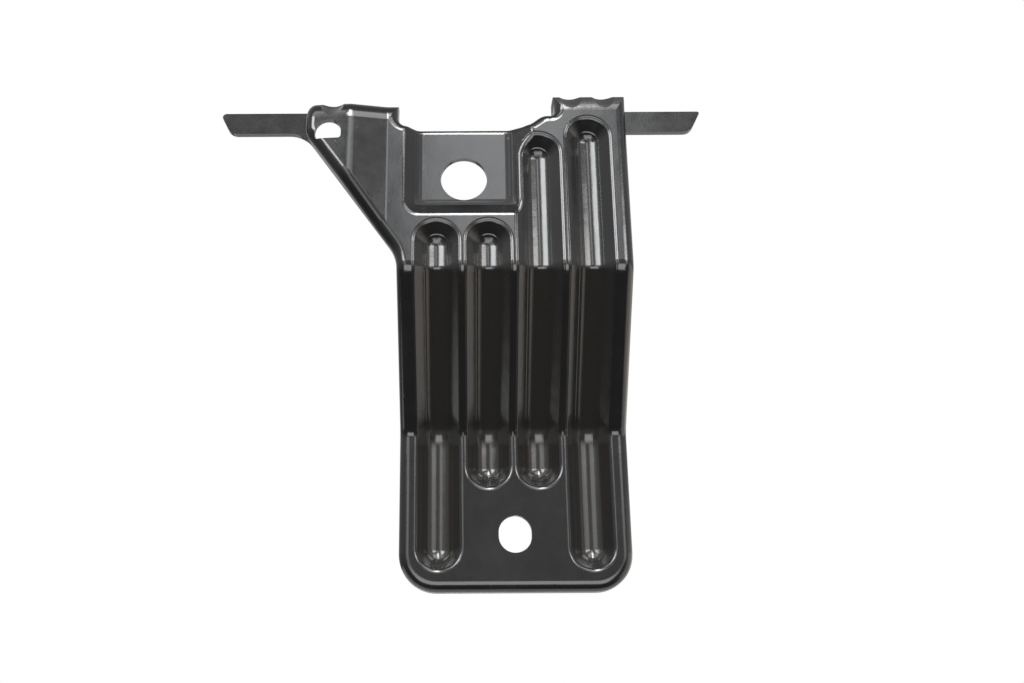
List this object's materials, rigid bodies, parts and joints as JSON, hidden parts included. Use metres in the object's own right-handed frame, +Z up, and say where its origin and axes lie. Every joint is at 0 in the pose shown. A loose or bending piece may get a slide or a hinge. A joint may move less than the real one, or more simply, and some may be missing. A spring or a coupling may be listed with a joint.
{
  "type": "ribbed steel mounting bracket",
  "caption": "Cranked sheet-steel bracket with long pressed ribs, a recessed bolt pad, flanged top ends, flat side arms, a rolled edge and round, oblong and flat-sided holes.",
  "frame": {"origin": "centre of the round hole in the recessed pad, on the pad's front face", "axes": "+Z up along the plate, +Y from the front face towards the back, +X to the viewer's right when the front is seen; the hole's axis is -Y"},
  "size_m": [0.1515, 0.0414, 0.1538],
  "materials": {
    "paint": "gloss"
  },
  "bodies": {
    "root": {"bracket": "paint"}
  },
  "joints": []
}
